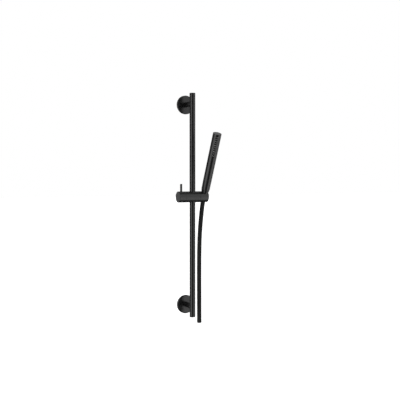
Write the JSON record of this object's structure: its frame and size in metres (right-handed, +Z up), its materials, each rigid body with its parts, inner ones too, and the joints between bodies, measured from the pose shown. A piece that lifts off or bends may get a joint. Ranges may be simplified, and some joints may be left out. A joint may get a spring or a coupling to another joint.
{
  "type": "shower slide rail",
  "caption": "Matte black round shower slide rail on two rosettes, with a lever-clamped slider, a tilting holder, a stick hand shower and a hanging hose",
  "frame": {"origin": "on the wall plane, halfway between the two wall screws", "axes": "+X right as seen from the front, +Y into the wall, +Z up along the rail"},
  "size_m": [0.1146, 0.1687, 0.8029],
  "materials": {
    "black_finish": "satin black coat",
    "bare_brass": "turned, uncoated",
    "steel": "plain stainless",
    "black_plastic": "moulded, matte",
    "soft_rubber": "moulded, soft",
    "nozzle_rubber": "moulded, soft grey",
    "hose_skin": "smooth satin hose"
  },
  "bodies": {
    "rail": {"rail_tube": "black_finish", "rail_top_cap": "black_finish", "rail_bottom_cap": "black_finish", "upper_wall_boss": "bare_brass", "upper_rosette": "black_finish", "upper_post": "black_finish", "upper_post_grub_screw": "steel", "upper_stud": "steel", "upper_rail_insert": "bare_brass", "lower_wall_boss": "bare_brass", "lower_rosette": "black_finish", "lower_post": "black_finish", "lower_post_grub_screw": "steel", "lower_stud": "steel", "lower_rail_insert": "bare_brass"},
    "glide": {"upper_glide_ring": "black_plastic", "lower_glide_ring": "black_plastic"},
    "slider": {"slider_body": "black_finish", "holder_grub_screw": "steel"},
    "clamp": {"clamp_knob": "black_finish", "lever_pin": "black_finish", "clamp_spindle": "steel", "spindle_clip": "steel"},
    "brake": {"brake_shoe": "black_plastic"},
    "holder": {"holder": "black_finish", "pivot_o_ring": "soft_rubber", "hose_cone_nut": "black_finish", "hose_washer": "soft_rubber", "hose_tail": "bare_brass", "hose_crimp_ferrule": "bare_brass", "hose": "hose_skin", "hose_end_ferrule": "black_finish", "handset_collar": "black_finish", "flow_limiter": "black_plastic", "feed_pipe": "black_plastic", "handset_tube": "black_finish", "handset_top_cap": "black_finish", "spray_plate": "black_plastic", "nozzle_mat": "nozzle_rubber", "spray_manifold": "black_plastic"}
  },
  "joints": [
    {"name": "slider_slide", "type": "slide", "parent": "rail", "child": "glide", "axis": [0, 0, 1], "range_m": [-0.35, 0.29]},
    {"name": "slider_swivel", "type": "hinge", "parent": "glide", "child": "slider", "pos_m": [0, -0.058, 0.03], "axis": [0, 0, 1], "range_deg": [-40, 4]},
    {"name": "holder_tilt", "type": "hinge", "parent": "slider", "child": "holder", "pos_m": [0.0446, -0.058, 0.03], "axis": [1, 0, 0], "range_deg": [-24.5, 35]},
    {"name": "lever_turn", "type": "hinge", "parent": "slider", "child": "clamp", "pos_m": [-0.0431, -0.058, 0.03], "axis": [1, 0, 0], "range_deg": [0, 90]},
    {"name": "brake_release", "type": "slide", "parent": "slider", "child": "brake", "axis": [-1, 0, 0], "range_m": [0, 0.0005]}
  ],
  "couplings": [
    {"joint": "brake_release", "follows": "lever_turn", "m_per_rad": 0.0003183}
  ]
}
